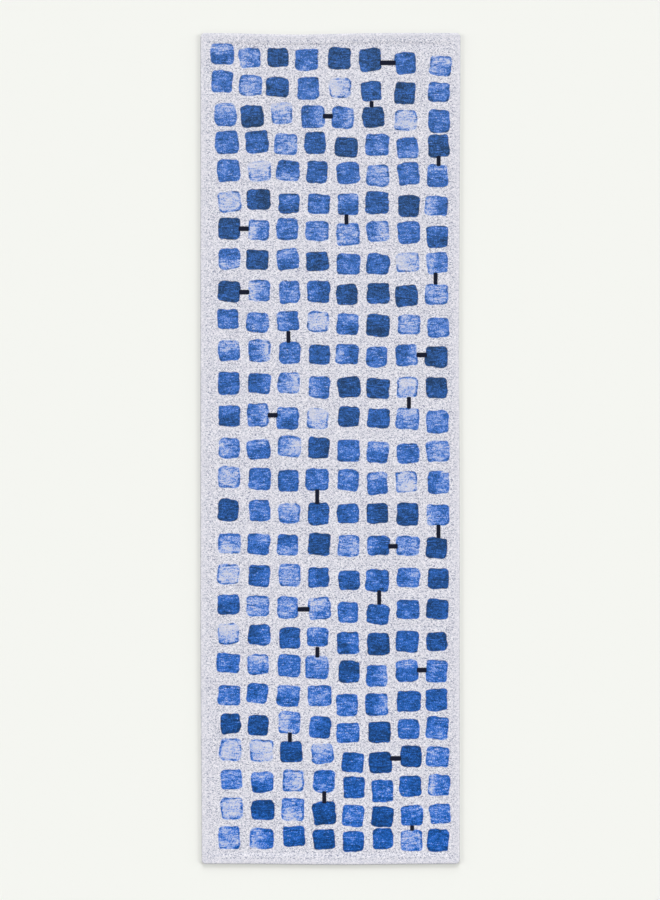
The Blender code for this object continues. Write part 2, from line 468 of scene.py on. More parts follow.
def inner_profile():
    """The hidden side: back along the flange, round the inner fold and in under the cloth. It
    has no place on the cloth laid out flat."""
    radius = (HEM_TOP - 2 * CLOTH_THICK) / 2
    middle_height = HEM_TOP / 2
    low = CLOTH_TOP - CLOTH_THICK
    profile = [
        (HEM_WIDTH - 0.8 * MM, CLOTH_THICK - 0.3 * MM),
        (SEAM_INSET, CLOTH_THICK),
        (middle_height, middle_height - radius),
        (middle_height - radius * 0.7, middle_height - radius * 0.7),
        (middle_height - radius, middle_height),
        (middle_height - radius * 0.7, middle_height + radius * 0.7),
        (middle_height, middle_height + radius),
        (HEM_WIDTH, HEM_TOP - CLOTH_THICK),
        (FLAT_INSET, low),
    ]
    return [(inset, height, 0.0) for inset, height in profile]


def ring_layout(xs_head, xs_foot, ys, steps):
    """The stations of a ring, anticlockwise from the head right corner: (corner turn, step) on an
    arc, or (side, place) on a straight side."""
    stations = []
    corners = ((1, 1), (-1, 1), (-1, -1), (1, -1))
    straights = (
        [("head", x) for x in xs_head[::-1]],
        [("left", y) for y in ys[::-1]],
        [("foot", x) for x in xs_foot],
        [("right", y) for y in ys],
    )
    for turn in range(4):
        for step in range(steps + 1):
            stations.append(("arc", corners[turn], turn, step / steps))
        stations += straights[turn]
    return stations


def on_outline(station, wide, long, radius):
    """Where a station lies on a rounded rectangle of these half sizes, as (x, y)."""
    if station[0] == "arc":
        _, (sx, sy), turn, share = station
        angle = math.pi / 2 * (turn + share)
        x = sx * (wide - radius) + radius * math.cos(angle)
        return x, sy * (long - radius) + radius * math.sin(angle)
    side, place = station
    x = min(max(place, radius - wide), wide - radius)
    y = min(max(place, radius - long), long - radius)
    return {"head": (x, long), "foot": (x, -long), "left": (-wide, y), "right": (wide, y)}[side]


def station_point(station, inset):
    """Where a station lies at an inset from the rug's outline."""
    radius = max(CORNER_RADIUS - inset, 0.4 * MM)
    return on_outline(station, HALF_WIDTH - inset, HALF_LENGTH - inset, radius)


def station_flat(station, length):
    """Where a station lies on the cloth laid out flat, a length of cloth past the grid's edge."""
    past = length - GRID_INSET
    return on_outline(station, HALF_WIDTH + past, HALF_LENGTH + past, length)


def rib_sign(y):
    """1 on a rib's crest and -1 in the valley beside it."""
    return 1.0 if round(y / (RIB_PITCH_FITTED / 2)) % 2 == 0 else -1.0


ROWS_Y = row_heights()
RIB_PITCH_FITTED = (ROWS_Y[1] - ROWS_Y[0]) * 2


def coarse_stations(stations):
    """Every eighth station of the long sides, every second of the ends and of the arcs."""
    kept = []
    counts = dict.fromkeys(("head", "left", "foot", "right"), 0)
    for index, station in enumerate(stations):
        if station[0] == "arc":
            count, every = round(station[3] * ARC_STEPS), 2
        else:
            counts[station[0]] += 1
            count, every = counts[station[0]], COARSE if station[0] in ("left", "right") else 2
        if count % every == 0:
            kept.append(index)
    return kept


def build_cloth():
    """The cloth, the size of its grid, and how many of its faces can be seen."""
    cloth = Cloth()
    xs = grid_columns(ROWS_Y)
    rows, columns = xs.shape
    inset = np.minimum(HALF_WIDTH - np.abs(xs), HALF_LENGTH - np.abs(ROWS_Y)[:, None])
    heights = top_height(inset)
    at = np.empty((rows, columns), int)
    for i, j in np.ndindex(rows, columns):
        x, y = xs[i, j], ROWS_Y[i]
        at[i, j] = cloth.vert((x, y, heights[i, j]), rib_sign(y), (x, y), inset[i, j])
    for i, j in np.ndindex(rows - 1, columns - 1):
        cloth.faces.append((at[i, j], at[i, j + 1], at[i + 1, j + 1], at[i + 1, j]))
    stations = ring_layout(xs[-1, 1:-1], xs[0, 1:-1], ROWS_Y[1:-1], ARC_STEPS)
    fold = fold_profile()
    ring = cloth.rings(grid_border(at, stations), stations, fold[:-1], True)
    ring = cloth.rings(ring, stations, fold[-1:])
    kept = coarse_stations(stations)
    stations = [stations[i] for i in kept]
    flange = flange_profile(fold[-1])
    first = cloth.ring(stations, *flange[0])
    thin_out(cloth, ring, first, kept)
    ring = cloth.rings(first, stations, flange[1:])
    seen = len(cloth.faces)
    ring = cloth.rings(ring, stations, inner_profile())
    cloth.faces.append(ring[::-1])
    return cloth, rows, columns, seen


def grid_border(at, stations):
    """The grid's own vertex for each station: an arc's stations all share the corner's."""
    corner = {(1, 1): at[-1, -1], (-1, 1): at[-1, 0], (-1, -1): at[0, 0], (1, -1): at[0, -1]}
    runs = {
        "head": list(at[-1, 1:-1][::-1]),
        "left": list(at[1:-1, 0][::-1]),
        "foot": list(at[0, 1:-1]),
        "right": list(at[1:-1, -1]),
    }
    found = []
    for station in stations:
        found.append(corner[station[1]] if station[0] == "arc" else runs[station[0]].pop(0))
    return found


def thin_out(cloth, fine, coarse, kept):
    """Joins a fine ring to a coarse one with one face for each coarse edge."""
    count = len(kept)
    for i in range(count):
        start, end = kept[i], kept[(i + 1) % count]
        if end < start:
            end += len(fine)
        span = [k % len(fine) for k in range(start, end + 1)]
        cloth.faces.append([fine[k] for k in reversed(span)] + [coarse[i], coarse[(i + 1) % count]])


def vector_attribute(mesh, name, values, domain="CORNER"):
    made = mesh.attributes.new(name, "FLOAT_VECTOR", domain)
    made.data.foreach_set("vector", values.astype(np.float32).ravel())


def corners_of(faces):
    """The numbers of the corners of some of the grid's faces."""
    return (faces[:, None] * 4 + np.arange(4)).ravel()


def write_pattern(mesh, rows, columns):
    """Gives each face corner its place in its own square and on the nearest bar."""
    place = places(mesh)[whole_numbers(mesh.loops, "vertex_index")]
    count = (rows - 1) * (columns - 1)
    centre = place[: count * 4].reshape(count, 4, 3).mean(axis=1)
    in_square = np.full(place.shape, 9.0)
    dye = np.zeros(place.shape)
    on_bar = np.tile((1.0, 1.0, 0.0), (len(place), 1))
    cell_column = (np.arange(count) % (columns - 1) - len(HEM_COLUMNS)) // SUB_COLUMNS
    cell_column = np.clip(cell_column, 0, COLUMN_COUNT - 1)
    for column, line in enumerate(zip(*SQUARES)):
        limits = np.array([(a["y"] + b["y"]) / 2 for a, b in zip(line, line[1:])])
        cell_row = np.searchsorted(-limits, -centre[:, 1])
        for row, square in enumerate(line):
            picked = corners_of(np.nonzero((cell_column == column) & (cell_row == row))[0])
            in_square[picked] = square_place(square, place[picked])
            dye[picked] = (square["dye"], *square["wash"])
    for x, y, half, thick, across in bars():
        near = np.abs(centre[:, :2] - (x, y)).max(axis=1) < half + BAR_MARGIN
        picked = corners_of(np.nonzero(near)[0])
        along, aside = (place[picked, :2] - (x, y)).T
        if not across:
            along, aside = aside, along
        on_bar[picked, 0], on_bar[picked, 1] = along, aside * BAR_ALONG_THICK / 2 / thick
        on_bar[picked, 2] = half
    for name, values in (("in_square", in_square), ("square_dye", dye), ("on_bar", on_bar)):
        vector_attribute(mesh, name, values)


def square_place(square, points):
    """Points as shares of a square's half sizes from its middle, with the square's own number."""
    dx, dy = points[:, 0] - square["x"], points[:, 1] - square["y"]
    cos, sin = math.cos(square["turn"]), math.sin(square["turn"])
    across = (dx * cos + dy * sin) / square["half_x"]
    along = (dy * cos - dx * sin) / square["half_y"]
    return np.column_stack([across, along, np.full(len(points), square["own"])])


# Places on the bake map, as shares of its width: each half of the cloth, and the hidden strip.
MAP_MARGIN = 26 * MM       # cloth past the rug's outline, which turns under
HALF_START, HALF_SHARE, HALF_STEP = 0.003, 0.472, 0.482
STRIP_START, STRIP_SHARE = 0.965, 0.033


def write_bake_map(mesh, flats, seen):
    """The cloth laid out flat as two halves side by side, and its hidden side in a narrow strip."""
    wide, long = HALF_WIDTH + MAP_MARGIN, HALF_LENGTH + MAP_MARGIN
    vertex = whole_numbers(mesh.loops, "vertex_index")
    flat, real = flats[vertex], places(mesh)[vertex]
    start = whole_numbers(mesh.polygons, "loop_start")
    face = np.repeat(np.arange(len(start)), whole_numbers(mesh.polygons, "loop_total"))
    head = (np.add.reduceat(flat[:, 1], start) > 0)[face]
    hidden = face >= seen
    uv = np.empty((len(vertex), 2))
    uv[:, 0] = HALF_START + HALF_SHARE * (flat[:, 0] + wide) / (2 * wide) + np.where(head, HALF_STEP, 0.0)
    uv[:, 1] = np.where(head, flat[:, 1] / long, 1 + flat[:, 1] / long) * 0.996 + 0.002
    uv[hidden, 0] = STRIP_START + STRIP_SHARE * (real[hidden, 0] / (2 * HALF_WIDTH) + 0.5)
    uv[hidden, 1] = real[hidden, 1] / (2 * HALF_LENGTH) + 0.5
    mesh.uv_layers.new(name="OFBake").uv.foreach_set("vector", uv.astype(np.float32).ravel())


# ---------------------------------------------------------------- values in node trees

class Wire:
    """A value in a node tree. Sums, products and powers of wires become Math nodes."""

    def __init__(self, socket):
        self.socket = socket
        self.tree = socket.id_data

    def __add__(self, other):
        return maths("ADD", self, other)

    def __sub__(self, other):
        return maths("SUBTRACT", self, other)

    def __mul__(self, other):
        return maths("MULTIPLY", self, other)

    def __truediv__(self, other):
        return maths("DIVIDE", self, other)

    def __pow__(self, other):
        return maths("POWER", self, other)

    def __abs__(self):
        return maths("ABSOLUTE", self)


def feed(socket, value):
    """Links a wire to a socket, or sets the socket to a constant."""
    if isinstance(value, Wire):
        value.tree.links.new(value.socket, socket)
    else:
        socket.default_value = value


def add(tree, kind, settings=None, output=0, **inputs):
    """Adds a node and returns the wire from one output. Inputs go by name, or as _0, _1."""
    node = tree.nodes.new(kind)
    for key, value in (settings or {}).items():
        setattr(node, key, value)
    for key, value in inputs.items():
        feed(socket_of(node, key), value)
    return Wire(node.outputs[output])


def socket_of(node, key):
    if key[1:].isdigit():
        return node.inputs[int(key[1:])]
    label = key.replace("_", " ").lower()
    for socket in node.inputs:
        if socket.name.lower() == label and socket.enabled:
            return socket
    raise KeyError(f"{node.bl_idname} has no input {label}")


def maths(operation, *values, clamp=False):
    tree = next(value.tree for value in values if isinstance(value, Wire))
    inputs = {f"_{index}": value for index, value in enumerate(values)}
    return add(tree, "ShaderNodeMath", {"operation": operation, "use_clamp": clamp}, **inputs)


def ease(value, start, end, low=0.0, high=1.0):
    """A smooth step from low to high as value goes from start to end."""
    return add(value.tree, "ShaderNodeMapRange", {"interpolation_type": "SMOOTHSTEP"},
               _0=value, _1=start, _2=end, _3=low, _4=high)


def noise(place, scale=1.0, detail=2.0, roughness=0.5):
    return add(place.tree, "ShaderNodeTexNoise", Vector=place, Scale=scale, Detail=detail,
               Roughness=roughness)


def vector(x, y, z):
    return add(x.tree, "ShaderNodeCombineXYZ", _0=x, _1=y, _2=z)


def parts(place):
    node = place.tree.nodes.new("ShaderNodeSeparateXYZ")
    feed(node.inputs[0], place)
    return [Wire(socket) for socket in node.outputs]


# ---------------------------------------------------------------- geometry node trees

def geometry_tree(name, inputs):
    """An empty Geometry Nodes tree, and a wire from each of its named inputs."""
    tree = bpy.data.node_groups.new(name, "GeometryNodeTree")
    for label, kind in {"Geometry": "Geometry", **inputs}.items():
        tree.interface.new_socket(label, in_out="INPUT", socket_type=f"NodeSocket{kind}")
    tree.interface.new_socket("Geometry", in_out="OUTPUT", socket_type="NodeSocketGeometry")
    start = tree.nodes.new("NodeGroupInput")
    return tree, {label: Wire(start.outputs[label]) for label in ("Geometry", *inputs)}


def finish_tree(tree, geometry, material):
    """Ends a tree with Realize Instances and Set Material."""
    real = add(tree, "GeometryNodeRealizeInstances", Geometry=geometry)
    painted = add(tree, "GeometryNodeSetMaterial", Geometry=real, Material=material)
    feed(tree.nodes.new("NodeGroupOutput").inputs[0], painted)
    return tree


def run_tree(item, tree, values):
    """Puts a tree on an object with these inputs, and turns the result into a plain mesh."""
    modifier = item.modifiers.new(tree.name, "NODES")
    modifier.node_group = tree
    for socket in tree.interface.items_tree:
        if socket.in_out == "INPUT" and socket.name in values:
            modifier[socket.identifier] = values[socket.name]
    return frozen(item)


def ribs_tree():
    """Lifts the weft ribs out of the cloth along its normals, thicker and thinner along each."""
    tree, given = geometry_tree("weft ribs", {
        "Rib Height": "Float", "Slub Length": "Float", "Ease": "Float", "Material": "Material",
    })
    rib = add(tree, "GeometryNodeInputNamedAttribute", {"data_type": "FLOAT"}, Name="rib")
    place = add(tree, "GeometryNodeInputPosition")
    slub = noise(place, maths("DIVIDE", 1.0, given["Slub Length"]))
    swell = add(tree, "ShaderNodeMapRange", _0=slub, _1=0.3, _2=0.7, _3=0.55, _4=1.25)
    lift = rib * (given["Rib Height"] * 0.5) * swell
    loose = (noise(place, 9.0, 1.0) - 0.5) * abs(rib) * given["Ease"]
    normal = add(tree, "GeometryNodeInputNormal")
    offset = add(tree, "ShaderNodeVectorMath", {"operation": "SCALE"}, Vector=normal, Scale=lift + loose)
    moved = add(tree, "GeometryNodeSetPosition", Geometry=given["Geometry"], Offset=offset)
    return finish_tree(tree, moved, given["Material"])


def chance(tree, low, high, given):
    """A random value for each copy."""
    return add(tree, "FunctionNodeRandomValue", {"data_type": "FLOAT"}, 1, Min=low, Max=high,
               Seed=given["Seed"])


def copies_tree(name, inputs, find_points):
    """Copies a unit onto points, each a little smaller by chance. find_points(tree, given)
    returns the points and any settings for the copies."""
    tree, given = geometry_tree(name, {
        "Unit": "Object", "Size By Chance": "Float", "Seed": "Int", "Material": "Material", **inputs,
    })
    points, settings = find_points(tree, given)
    unit = add(tree, "GeometryNodeObjectInfo", output="Geometry", Object=given["Unit"])
    share = chance(tree, maths("SUBTRACT", 1.0, given["Size By Chance"]), 1.0, given)
    copies = add(tree, "GeometryNodeInstanceOnPoints", Points=points, Instance=unit, Scale=share,
                 **settings)
    return finish_tree(tree, copies, given["Material"])


def points_along(tree, given):
    """Points along a run at a spacing, each turned with the run and a little by chance."""
    curve = add(tree, "GeometryNodeMeshToCurve", Mesh=given["Geometry"])
    points = add(tree, "GeometryNodeCurveToPoints", {"mode": "LENGTH"}, Curve=curve,
                 Length=given["Spacing"])
    tangent = Wire(points.socket.node.outputs["Tangent"])
    heading = add(tree, "FunctionNodeAlignRotationToVector", {"axis": "X"}, Vector=tangent)
    most = given["Turn By Chance"]
    turn = add(tree, "ShaderNodeCombineXYZ", Z=chance(tree, most * -1.0, most, given))
    return points, {"Rotation": add(tree, "FunctionNodeRotateRotation", Rotation=heading, Rotate_By=turn)}


def row_of_units_tree():
    return copies_tree("units along a run", {"Spacing": "Float", "Turn By Chance": "Float"}, points_along)


def units_on_places_tree():
    return copies_tree("units on places", {}, lambda tree, given: (given["Geometry"], {}))


# ---------------------------------------------------------------- colours

def colour(red, green, blue):
    """A colour as it is seen, from 0 to 255, in the shader's own terms."""
    def linear(value):
        value /= 255
        return value / 12.92 if value <= 0.04045 else ((value + 0.055) / 1.055) ** 2.4
    return (linear(red), linear(green), linear(blue), 1.0)


# Colour of the cloth from no dye to the strongest, at the rug's head and at its foot.
INK_STEPS = (0.0, 0.2, 0.42, 0.65, 0.86, 1.0)
HEAD_DYES = ((210, 214, 233), (151, 176, 226), (75, 126, 213), (53, 101, 176), (48, 79, 119), (32, 56, 90))
FOOT_DYES = ((210, 214, 234), (150, 177, 229), (52, 122, 223), (20, 94, 188), (14, 68, 130), (8, 54, 104))
GROUND_DARK = colour(168, 172, 190)
GROUND_LIGHT = colour(246, 244, 250)
SPECK = colour(86, 98, 138)
BAR_BLACK = colour(15, 21, 42)


# ---------------------------------------------------------------- shader node groups

SQUARE_WOBBLE = 0.32       # how far a square's outline strays, as a share of its half size
SQUARE_FRAY = 0.09         # how far single yarns run past it
WASH_LOSS = 0.36           # dye lost towards the pale side
BLOTCH_LOSS = 0.6
BAR_CORNER = 3.5 * MM
BAR_FRAY = 2.2 * MM


def shader_group(name, inputs, work_out):
    """A node group: inputs are vectors where None and numbers where they have a value, and
    work_out turns their wires into the outputs, by name."""
    tree = bpy.data.node_groups.new(name, "ShaderNodeTree")
    for label, value in inputs.items():
        kind = "NodeSocketVector" if value is None else "NodeSocketFloat"
        socket = tree.interface.new_socket(label, in_out="INPUT", socket_type=kind)
        if value is not None:
            socket.default_value = value
    start = tree.nodes.new("NodeGroupInput")
    found = work_out(*[Wire(start.outputs[label]) for label in inputs])
    for label in found:
        tree.interface.new_socket(label, in_out="OUTPUT", socket_type="NodeSocketFloat")
    end = tree.nodes.new("NodeGroupOutput")
    for label, value in found.items():
        feed(end.inputs[label], value)
    return tree


def woven_yarns(place, pitch, length):
    """Yarns laid side by side along X: each yarn's rounding, and streaks that run along it."""
    x, y, _ = parts(place)
    count = (noise(place, 22.0, 1.0) - 0.5) * 0.7 + y / pitch + 0.5
    plies = count * 2.0
    yarn = maths("FLOOR", count)
    ply = maths("FLOOR", plies)
    rounding = maths("SINE", maths("FRACT", plies) * math.pi)
    along = x / length

    def strand_noise(strand, stretch, level, detail):
        """Noise that runs along each strand and starts afresh on the next one."""
        return noise(vector(along * stretch, strand * 3.17, level), 1.0, detail, 0.6)

    fine = strand_noise(ply, 2.2, 4.0, 2.0)
    # the warp pulls each strand down at every second crossing
    crossing = fine * 0.6 + ply * 0.5 + x / (pitch * 0.8)
    pulled = abs(maths("COSINE", crossing * math.pi)) ** 5.0
    return {
        "Crown": rounding * (pulled * -0.55 + 1.0),
        "Streak": strand_noise(yarn, 1.0, 0.0, 2.0),
        "Fine": fine,
        "Long": strand_noise(yarn, 0.3, 8.0, 1.0),
        "Dash": strand_noise(ply, 1.3, 12.0, 1.0),
        "Tow": noise(place, 2600.0, 1.0),
    }


def dyed_square(in_square, dyes, streak, fine, long):
    """How much dye lies at a point of a square: its outline, rim, wash, blotches and streaks."""
    across, along, own = parts(in_square)
    dye, wash_x, wash_y = parts(dyes)
    wobble_x = noise(vector(across, along, own), 1.1, 1.0)
    wobble_y = noise(vector(along, across, own + 80.0), 1.1, 1.0)
    x = (wobble_x - 0.5) * SQUARE_WOBBLE + across + (fine - 0.5) * SQUARE_FRAY
    y = (wobble_y - 0.5) * SQUARE_WOBBLE + along
    power = maths("FRACT", own) * 2.6 + 4.4
    out = (abs(x) ** power + abs(y) ** power) ** maths("DIVIDE", 1.0, power)
    # rim: a broken darker band just inside the outline, strongest on pale squares
    broken = ease(noise(vector(across, along, own + 60.0), 0.9, 1.0), 0.42, 0.58)
    rim = ease(out, 0.70, 0.95) * (broken * 0.8 + 0.2)
    # wash: inside the rim the dye thins towards one side, and in blotches
    thin = ease(across * wash_x + along * wash_y, -0.5, 0.9) * WASH_LOSS
    blotch = noise(vector(across, along, own + 30.0), 1.2)
    loss = (blotch - 0.5) * BLOTCH_LOSS + thin
    # the strongest dye covers evenly
    loss = loss * ease(dye, 0.66, 0.84, 1.0, 0.4)
    paleness = maths("SUBTRACT", 0.60, dye, clamp=True)
    ink = dye - loss * (rim * -0.8 + 1.0) + rim * (paleness + 0.06)
    # grain: the yarns take the dye unevenly
    grain = (streak - 0.5) * 0.5 + (fine - 0.5) * 1.75 + (long - 0.5) * 0.975
    return {
        "Ink": ink + grain * (dye * -0.45 + 1.38),
        "Cover": ease(out, 0.975, 1.035, 1.0, 0.0),
    }


def woven_bar(on_bar, fine):
    """1 inside a bar with rounded ends, 0 outside it."""
    along, aside, half = parts(on_bar)
    past = maths("MAXIMUM", abs(along) - (half - BAR_CORNER), 0.0)
    beside = maths("MAXIMUM", abs(aside) - (BAR_ALONG_THICK / 2 - BAR_CORNER), 0.0)
    away = (fine - 0.5) * BAR_FRAY + maths("SQRT", past * past + beside * beside)
    inside = ease(away, BAR_CORNER - 0.5 * MM, BAR_CORNER + 0.7 * MM, 1.0, 0.0)
    return {"Cover": inside * maths("GREATER_THAN", half, 0.5 * MM)}


def loose_fibres(place, length):
    """Loose fibres lying every way: a height, and a tone that is partly random and partly painted shade,
    darker where the fibres lie low.
    """
    x, y, z = parts(place)
    grain = maths("DIVIDE", 1.0, length)
    long = grain * 0.22
    first = noise(vector(x * grain, y * long, z * grain), 1.0, 3.0, 0.6)
    second = noise(vector(x * long, y * grain, z * grain + 9.0), 1.0, 3.0, 0.6)
    height = maths("MAXIMUM", first, second)
    # the tone is part random noise and part painted shade that follows the fibres' height
    return {"Height": height, "Lightness": noise(place, 60.0) * 0.4 + height * 0.6}


def shader_groups():
    yarns = {"Streak": 0.5, "Fine": 0.5, "Long": 0.5}
    return {
        "weave": shader_group("weave", {"Place": None, "Pitch": RIB_PITCH, "Float": 7 * MM}, woven_yarns),
        "square": shader_group("dyed square", {"In Square": None, "Dye": None, **yarns}, dyed_square),
        "bar": shader_group("bar", {"On Bar": None, "Fine": 0.5}, woven_bar),
        "fibres": shader_group("fibres", {"Place": None, "Size": 1 * MM}, loose_fibres),
    }


# ---------------------------------------------------------------- materials

def blend_colour(share, first, second):
    return add(share.tree, "ShaderNodeMix", {"data_type": "RGBA"}, 2, _0=share, _6=first, _7=second)


def dye_colours(ink, colours):
    """The colour for each strength of dye, from a ramp."""
    node = ink.tree.nodes.new("ShaderNodeValToRGB")
    stops = node.color_ramp.elements
    while len(stops) < len(INK_STEPS):
        stops.new(0.5)
    for stop, step, shown in zip(stops, INK_STEPS, colours):
        stop.position = step
        stop.color = colour(*shown)
    feed(node.inputs[0], ink)
    return Wire(node.outputs[0])


class Finish:
    """A material with its node tree, its Principled shader and the object's coordinates."""

    def __init__(self, name, sheen=0.0, specular=0.25):
        self.material = bpy.data.materials.new(name)
        self.material.use_nodes = True
        self.tree = self.material.node_tree
        self.shader = self.tree.nodes["Principled BSDF"]
        self.shader.inputs["Sheen Weight"].default_value = sheen
        self.shader.inputs["Specular IOR Level"].default_value = specular
        self.place = add(self.tree, "ShaderNodeTexCoord", output="Object")

    def group(self, tree, **inputs):
        """Places a node group and returns its outputs by name."""
        node = self.tree.nodes.new("ShaderNodeGroup")
        node.node_tree = tree
        for key, value in inputs.items():
            feed(node.inputs[key.replace("_", " ")], value)
        return {socket.name: Wire(socket) for socket in node.outputs}

    def attribute(self, name, output="Vector"):
        return add(self.tree, "ShaderNodeAttribute", {"attribute_name": name}, output)

    def surface(self, shown, rough, height, distance, strength):
        """Sets the colour, the roughness and a bump, and returns the finished material."""
        bump = add(self.tree, "ShaderNodeBump", Height=height, Distance=distance, Strength=strength)
        for label, value in (("Base Color", shown), ("Roughness", rough), ("Normal", bump)):
            feed(self.shader.inputs[label], value)
        return self.material


def ground_colour(made, weave, inset):
    """Pale cloth that the yarns make lighter and darker, with flecks, calmer near the edges."""
    calm = ease(inset, 6 * MM, 24 * MM, 0.6, 1.0)
    uneven = (weave["Streak"] - 0.5) * 2.0 + (weave["Fine"] - 0.5) * 2.9
    lightness = maths("MULTIPLY_ADD", uneven, calm, 0.69, clamp=True)
    fleck = ease(weave["Dash"], 0.57, 0.65) * (ease(inset, 6 * MM, 20 * MM, 0.35, 1.0) * 0.8)
    return blend_colour(fleck, blend_colour(lightness, GROUND_DARK, GROUND_LIGHT), SPECK)


def face_yarn_finish(groups):
    """The jacquard face: pale flecked ground, dyed squares and near-black bars."""
    made = Finish("face_yarn", sheen=0.06, specular=0.12)
    weave = made.group(groups["weave"], Place=made.attribute("on_cloth"))
    fine, crown = weave["Fine"], weave["Crown"]
    square = made.group(groups["square"], In_Square=made.attribute("in_square"),
                        Dye=made.attribute("square_dye"), Streak=weave["Streak"], Fine=fine,
                        Long=weave["Long"])
    bar = made.group(groups["bar"], On_Bar=made.attribute("on_bar"), Fine=fine)["Cover"]
    inset = made.attribute("inset", "Fac")
    ground = ground_colour(made, weave, inset)
    _, y, _ = parts(made.place)
    towards_foot = maths("SUBTRACT", 0.5, y / (2 * HALF_LENGTH), clamp=True) ** 1.7
    ink = square["Ink"]
    dyed = blend_colour(towards_foot, dye_colours(ink, HEAD_DYES), dye_colours(ink, FOOT_DYES))
    dyed = blend_colour(ease(ink, -0.10, 0.08, 0.55, 1.0), ground, dyed)
    cloth = blend_colour(square["Cover"], ground, dyed)
    cloth = blend_colour(bar, cloth, BAR_BLACK)
    # painted light and shade: the colour is lighter on the yarns' crowns, darker in the valleys between
    # them, and darker over the last 2.6 mm to the folded edge
    shade = (crown * 0.20 + 0.92) * ease(inset, 0.2 * MM, 2.6 * MM, 0.56, 1.0)
    cloth = add(made.tree, "ShaderNodeVectorMath", {"operation": "SCALE"}, _0=cloth, Scale=shade)
    return made.surface(cloth, fine * 0.16 + 0.80, weave["Tow"] * 0.3 + crown, 0.4 * MM, 0.8)


def felt_finish(groups):
    made = Finish("backing_felt", sheen=0.1, specular=0.1)
    fibres = made.group(groups["fibres"], Place=made.place, Size=0.9 * MM)
    # the felt's colour is partly random tone and partly painted shade, darker where the fibres lie low
    shown = blend_colour(fibres["Lightness"], colour(118, 119, 124), colour(196, 197, 200))
    return made.surface(shown, fibres["Height"] * 0.12 + 0.86, fibres["Height"], 0.5 * MM, 0.8)


def grip_finish():
    made = Finish("grip_print", specular=0.4)
    cloud = noise(made.place, 900.0, 3.0)
    shown = blend_colour(cloud, colour(206, 208, 212), colour(232, 233, 236))
    return made.surface(shown, cloud * 0.25 + 0.38, cloud, 0.08 * MM, 0.5)


def thread_finish(name, dark, light, groups, roughness):
    """Sewing thread: fine twisted fibres and a soft sheen."""
    made = Finish(name, sheen=0.15, specular=0.3)
    fibres = made.group(groups["fibres"], Place=made.place, Size=0.25 * MM)
    # the thread's colour is partly random tone and partly painted shade, darker where the fibres lie low
    shown = blend_colour(fibres["Lightness"], dark, light)
    return made.surface(shown, fibres["Height"] * 0.2 + (roughness - 0.1), fibres["Height"], 0.12 * MM, 0.7)


def label_finish(groups):
    """Blank woven tape: a fine weave of its own, with nothing printed on it."""
    made = Finish("label_tape", sheen=0.1, specular=0.35)
    weave = made.group(groups["weave"], Place=made.place, Pitch=0.4 * MM, Float=1.2 * MM)
    shown = blend_colour(weave["Streak"], colour(212, 212, 206), colour(244, 244, 240))
    return made.surface(shown, weave["Fine"] * 0.2 + 0.5, weave["Crown"], 0.06 * MM, 0.6)


# ---------------------------------------------------------------- pieces

def placed(item, node=None, material=None):
    """Settles a piece with the rug, and says its body and the CAD node it replaces."""
    settle_mesh(item.data)
    if material:
        item.data.materials.append(material)
    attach(item, BODY)
    if node:
        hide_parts(node)


def face_cloth(material):
    cloth, rows, columns, seen = build_cloth()
    verts, ribs, flats, insets = zip(*cloth.points)
    item = new_object("face_cloth_woven", verts, cloth.faces)
    mesh = item.data
    for name, values in (("rib", ribs), ("inset", insets)):
        made = mesh.attributes.new(name, "FLOAT", "POINT")
        made.data.foreach_set("value", np.array(values, np.float32))
    flats = np.array(flats)
    vector_attribute(mesh, "on_cloth", np.column_stack([flats, np.zeros(len(flats))]), "POINT")
    write_pattern(mesh, rows, columns)
    write_bake_map(mesh, flats, seen)
    shade_smooth(item)
    run_tree(item, ribs_tree(), {
        "Rib Height": RIB_HEIGHT, "Slub Length": 14 * MM, "Ease": 0.25 * MM, "Material": material,
    })
    placed(item, "face_cloth")
    reach = fold_profile()[-1][2] + HEM_WIDTH - HEM_TOP / 2 - GRID_INSET
    2 * (HALF_WIDTH + reach)
    2 * (HALF_LENGTH + reach)


def sheet_rings(name, profile):
    """A plain closed sheet from (inset, height) rings of the rug's outline, capped at both ends."""
    xs = np.linspace(-(HALF_WIDTH - FLAT_INSET), HALF_WIDTH - FLAT_INSET, 14)[1:-1]
    ys = np.linspace(-(HALF_LENGTH - FLAT_INSET), HALF_LENGTH - FLAT_INSET, 44)[1:-1]
    stations = ring_layout(xs, xs, ys, 4)
    rings = []
    for inset, height in profile:
        rings.append([(*station_point(station, inset), height) for station in stations])
    return skin(name, rings)


def felt_backing(material):
    over_hem = HEM_WIDTH + 0.3 * MM
    low_in_hem = FELT_TOP_IN_HEM - FELT_THICK
    profile = [
        (FLAT_INSET + 2 * MM, GRIP_HEIGHT + FELT_THICK),
        (FLAT_INSET, GRIP_HEIGHT + FELT_THICK),
        (HEM_WIDTH, FELT_TOP_IN_HEM),
        (FELT_INSET + 0.3 * MM, FELT_TOP_IN_HEM),
        (FELT_INSET, FELT_TOP_IN_HEM - 0.3 * MM),
        (FELT_INSET, low_in_hem + 0.3 * MM),
        (FELT_INSET + 0.3 * MM, low_in_hem),
        (over_hem, low_in_hem),
        (over_hem + 3 * MM, low_in_hem - 0.25 * MM),
        (FLAT_INSET - 3 * MM, GRIP_HEIGHT + 0.25 * MM),
        (FLAT_INSET, GRIP_HEIGHT),
        (FLAT_INSET + 2 * MM, GRIP_HEIGHT),
    ]
    item = sheet_rings("felt_backing", profile)
    placed(item, "backing", material)


def dot_unit():
    """A low printed dot: a short round dome, flat where it joins the felt."""
    rings = []
    for share, drop in ((1.0, 0.05), (0.94, -0.45), (0.62, -0.92)):
        radius, height = share * DOT_RADIUS, drop * GRIP_HEIGHT
        rings.append([(cos * radius, sin * radius, height) for cos, sin in circle(8)])
    unit = skin("dot_unit", rings)
    shade_smooth(unit)
    return unit


